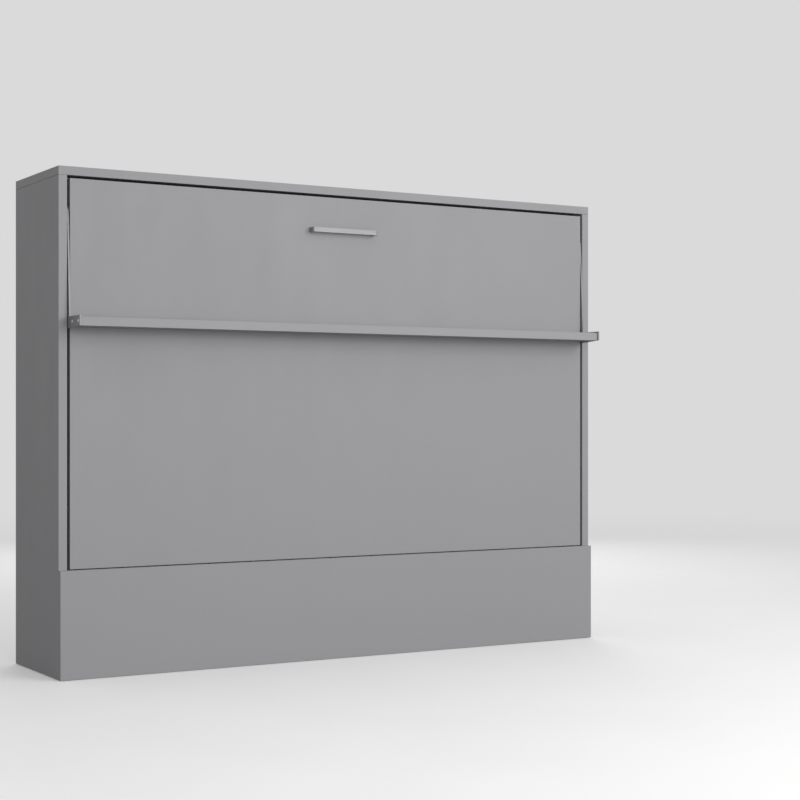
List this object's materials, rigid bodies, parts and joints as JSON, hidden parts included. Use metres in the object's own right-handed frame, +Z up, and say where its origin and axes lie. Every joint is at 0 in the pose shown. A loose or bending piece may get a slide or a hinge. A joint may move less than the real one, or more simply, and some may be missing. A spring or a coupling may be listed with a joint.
{
  "type": "murphy wall bed",
  "caption": "Horizontal wall bed: a grey cabinet whose front panel folds down with the bed, its long self-levelling shelf becoming the foot",
  "frame": {"origin": "centre of the whole footprint, on the floor", "axes": "+X along the wall, +Y into the wall, +Z up"},
  "size_m": [2.11, 0.545, 1.65],
  "materials": {
    "laminate": "matt grey melamine laminate",
    "birch": "satin birch",
    "nylon": "matt black nylon",
    "mattress_cover": "knitted quilted cover",
    "webbing": "woven webbing",
    "handle_metal": "brushed",
    "strut_paint": "satin black enamel",
    "rod_chrome": "polished",
    "zinc": "bright zinc plate",
    "plate_steel": "grey powder coat"
  },
  "bodies": {
    "cabinet": {"side_panel_left": "laminate", "side_panel_right": "laminate", "top_panel": "laminate", "plinth_panel": "laminate", "back_rail_top": "laminate", "back_rail_bottom": "laminate", "base_rail_front": "laminate", "floor_glides": "nylon", "cabinet_dowels": "birch", "corner_brackets": "zinc", "hinge_plate_left": "plate_steel", "hinge_plate_right": "plate_steel", "strut_bracket_left": "plate_steel", "strut_bracket_right": "plate_steel", "stop_bracket_left": "plate_steel", "stop_bracket_right": "plate_steel", "stop_pads": "nylon", "cabinet_screws": "zinc"},
    "bed": {"front_panel": "laminate", "bed_side_left": "laminate", "bed_side_right": "laminate", "bed_rail_top": "laminate", "bed_rail_bottom": "laminate", "slat_ledge_top": "birch", "slat_ledge_bottom": "birch", "centre_beam": "birch", "slats": "birch", "slat_caps": "nylon", "bed_dowels": "birch", "hinge_bush_left": "nylon", "hinge_bush_right": "nylon", "strut_stud_left": "plate_steel", "strut_stud_right": "plate_steel", "stud_screws": "zinc", "mattress": "mattress_cover", "strap_left": "webbing", "strap_right": "webbing", "strap_buckles": "nylon", "handle": "handle_metal", "handle_screws": "zinc", "leg_bolt_left": "zinc", "leg_bolt_right": "zinc", "leg_washers": "nylon"},
    "leg": {"shelf_board": "laminate", "leg_plate_left": "plate_steel", "leg_plate_right": "plate_steel", "shelf_bolts": "zinc"},
    "tube_left": {"strut_tube_left": "strut_paint"},
    "tube_right": {"strut_tube_right": "strut_paint"},
    "rod_left": {"strut_rod_left": "rod_chrome"},
    "rod_right": {"strut_rod_right": "rod_chrome"}
  },
  "joints": [
    {"name": "bed_fold", "type": "hinge", "parent": "cabinet", "child": "bed", "pos_m": [0, -0.0405, 0.477], "axis": [1, 0, 0], "range_deg": [0, 90], "stiffness_Nm_per_rad": 75, "springref_deg": -171.89},
    {"name": "leg_fold", "type": "hinge", "parent": "bed", "child": "leg", "pos_m": [0, -0.1385, 1.507], "axis": [1, 0, 0], "range_deg": [-90, 0]},
    {"name": "strut_swing_left", "type": "hinge", "parent": "cabinet", "child": "tube_left", "pos_m": [-1.0125, 0.0445, 0.83], "axis": [1, 0, 0], "range_deg": [0, 6.31]},
    {"name": "strut_slide_left", "type": "slide", "parent": "tube_left", "child": "rod_left", "axis": [0, -0.0282, -0.9996], "range_m": [-0.1797, 0]},
    {"name": "strut_swing_right", "type": "hinge", "parent": "cabinet", "child": "tube_right", "pos_m": [1.0125, 0.0445, 0.83], "axis": [1, 0, 0], "range_deg": [0, 6.31]},
    {"name": "strut_slide_right", "type": "slide", "parent": "tube_right", "child": "rod_right", "axis": [0, -0.0282, -0.9996], "range_m": [-0.1797, 0]}
  ],
  "couplings": [
    {"joint": "leg_fold", "follows": "bed_fold", "ratio": -1},
    {"joint": "strut_swing_left", "follows": "bed_fold", "ratio": 0.069939},
    {"joint": "strut_slide_left", "follows": "bed_fold", "m_per_rad": -0.11411},
    {"joint": "strut_swing_right", "follows": "bed_fold", "ratio": 0.069939},
    {"joint": "strut_slide_right", "follows": "bed_fold", "m_per_rad": -0.11411}
  ]
}
